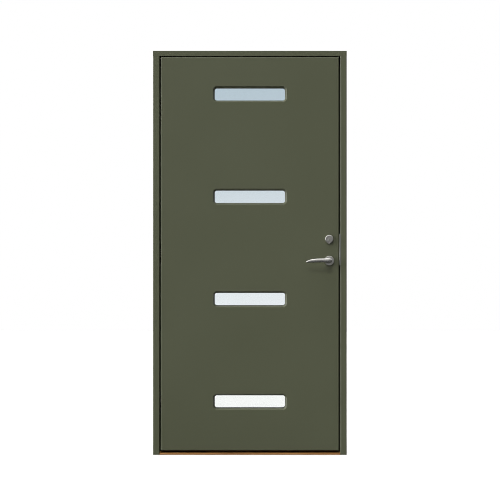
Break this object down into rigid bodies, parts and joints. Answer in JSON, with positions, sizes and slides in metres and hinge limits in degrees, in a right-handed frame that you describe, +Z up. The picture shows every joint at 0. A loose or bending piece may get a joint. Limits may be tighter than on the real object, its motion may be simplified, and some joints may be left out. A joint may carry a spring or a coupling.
{
  "type": "front door with frame",
  "caption": "Flush insulated front door in its frame, with horizontal glazed slots, lever handles, mortise lock, concealed hinges and an oak threshold.",
  "frame": {"origin": "on the underside of the threshold, midway across the frame and midway through its depth", "axes": "+Z up, +X to the lock side (right seen from outside), +Y into the house"},
  "size_m": [1, 0.1784, 2.085],
  "materials": {
    "painted_timber": "satin paint on timber",
    "painted_board": "satin paint on board",
    "oiled_oak": "oiled oak",
    "aluminium_strip": "anodised",
    "seal_rubber": "matte",
    "zinc_steel": "satin zinc plate",
    "bolt_steel": "bright",
    "hinge_casting": "satin casting",
    "pin_steel": "ground",
    "foam": "foam",
    "glass": "clear",
    "spacer": "matte",
    "satin_steel": "satin",
    "cylinder_nickel": "satin nickel"
  },
  "bodies": {
    "frame": {"hinge_jamb": "painted_timber", "lock_jamb": "painted_timber", "hinge_side_stop": "painted_timber", "lock_side_stop": "painted_timber", "frame_head": "painted_timber", "oak_threshold": "oiled_oak", "threshold_wear_strip": "aluminium_strip", "frame_seal": "seal_rubber", "threshold_seal": "seal_rubber", "fixing_sleeves": "zinc_steel", "strike_plate": "zinc_steel", "hinge_frame_pins": "pin_steel", "hinge_frame_cup_bottom": "hinge_casting", "hinge_frame_cup_middle": "hinge_casting", "hinge_frame_cup_top": "hinge_casting"},
    "leaf": {"outer_skin": "painted_board", "inner_skin": "painted_board", "hinge_stile": "painted_timber", "lock_stile": "painted_timber", "top_rail": "painted_timber", "bottom_rail": "painted_timber", "insulation_core": "foam", "glass_spacers": "spacer", "hinge_leaf_pins": "pin_steel", "lock_case": "zinc_steel", "lock_forend": "zinc_steel", "outside_rose": "satin_steel", "inside_rose": "satin_steel", "cylinder_ring": "satin_steel", "lock_cylinder": "cylinder_nickel", "turn_rose": "satin_steel", "hinge_leaf_cup_bottom": "hinge_casting", "hinge_leaf_cup_middle": "hinge_casting", "hinge_leaf_cup_top": "hinge_casting", "glass_panes_1": "glass", "glass_panes_2": "glass", "glass_panes_3": "glass", "glass_panes_4": "glass", "outer_bead_1": "painted_board", "outer_bead_2": "painted_board", "outer_bead_3": "painted_board", "outer_bead_4": "painted_board", "inner_bead_1": "painted_board", "inner_bead_2": "painted_board", "inner_bead_3": "painted_board", "inner_bead_4": "painted_board"},
    "frame_arms": {"hinge_frame_arm_bottom": "hinge_casting", "hinge_frame_arm_middle": "hinge_casting", "hinge_frame_arm_top": "hinge_casting", "hinge_centre_pins": "pin_steel"},
    "leaf_arms": {"hinge_leaf_arm_bottom": "hinge_casting", "hinge_leaf_arm_middle": "hinge_casting", "hinge_leaf_arm_top": "hinge_casting"},
    "handle": {"outside_lever": "satin_steel", "inside_lever": "satin_steel", "handle_spindle": "pin_steel"},
    "latch": {"latch_bolt": "bolt_steel"},
    "bolt": {"dead_bolt": "bolt_steel"},
    "plug": {"key_plug": "cylinder_nickel"},
    "turn": {"thumb_turn": "satin_steel"}
  },
  "joints": [
    {"name": "door_swing", "type": "hinge", "parent": "frame", "child": "leaf", "pos_m": [-0.46275, -0.0525, 1], "axis": [0, 0, -1], "range_deg": [0, 105]},
    {"name": "frame_arm_swing", "type": "hinge", "parent": "frame", "child": "frame_arms", "pos_m": [-0.47095, -0.0299, 1], "axis": [0, 0, -1], "range_deg": [0, 105]},
    {"name": "leaf_arm_swing", "type": "hinge", "parent": "leaf", "child": "leaf_arms", "pos_m": [-0.45455, -0.0299, 1], "axis": [0, 0, -1], "range_deg": [-105, 0]},
    {"name": "handle_turn", "type": "hinge", "parent": "leaf", "child": "handle", "pos_m": [0.4095, -0.0215, 1.002], "axis": [0, -1, 0], "range_deg": [0, 45], "stiffness_Nm_per_rad": 1.2, "springref_deg": -34.38},
    {"name": "latch_slide", "type": "slide", "parent": "leaf", "child": "latch", "axis": [-1, 0, 0], "range_m": [0, 0.01401]},
    {"name": "thumb_turn_turn", "type": "hinge", "parent": "leaf", "child": "turn", "pos_m": [0.4095, 0.0095, 1.107], "axis": [0, 1, 0], "range_deg": [0, 90]},
    {"name": "dead_bolt_slide", "type": "slide", "parent": "leaf", "child": "bolt", "axis": [1, 0, 0], "range_m": [0, 0.02001]},
    {"name": "key_turn", "type": "hinge", "parent": "leaf", "child": "plug", "pos_m": [0.4095, -0.0525, 1.107], "axis": [0, -1, 0], "range_deg": [0, 90]}
  ],
  "couplings": [
    {"joint": "frame_arm_swing", "follows": "door_swing", "ratio": 1},
    {"joint": "leaf_arm_swing", "follows": "door_swing", "ratio": -1},
    {"joint": "latch_slide", "follows": "handle_turn", "m_per_rad": 0.017825},
    {"joint": "dead_bolt_slide", "follows": "thumb_turn_turn", "m_per_rad": 0.012732}
  ]
}
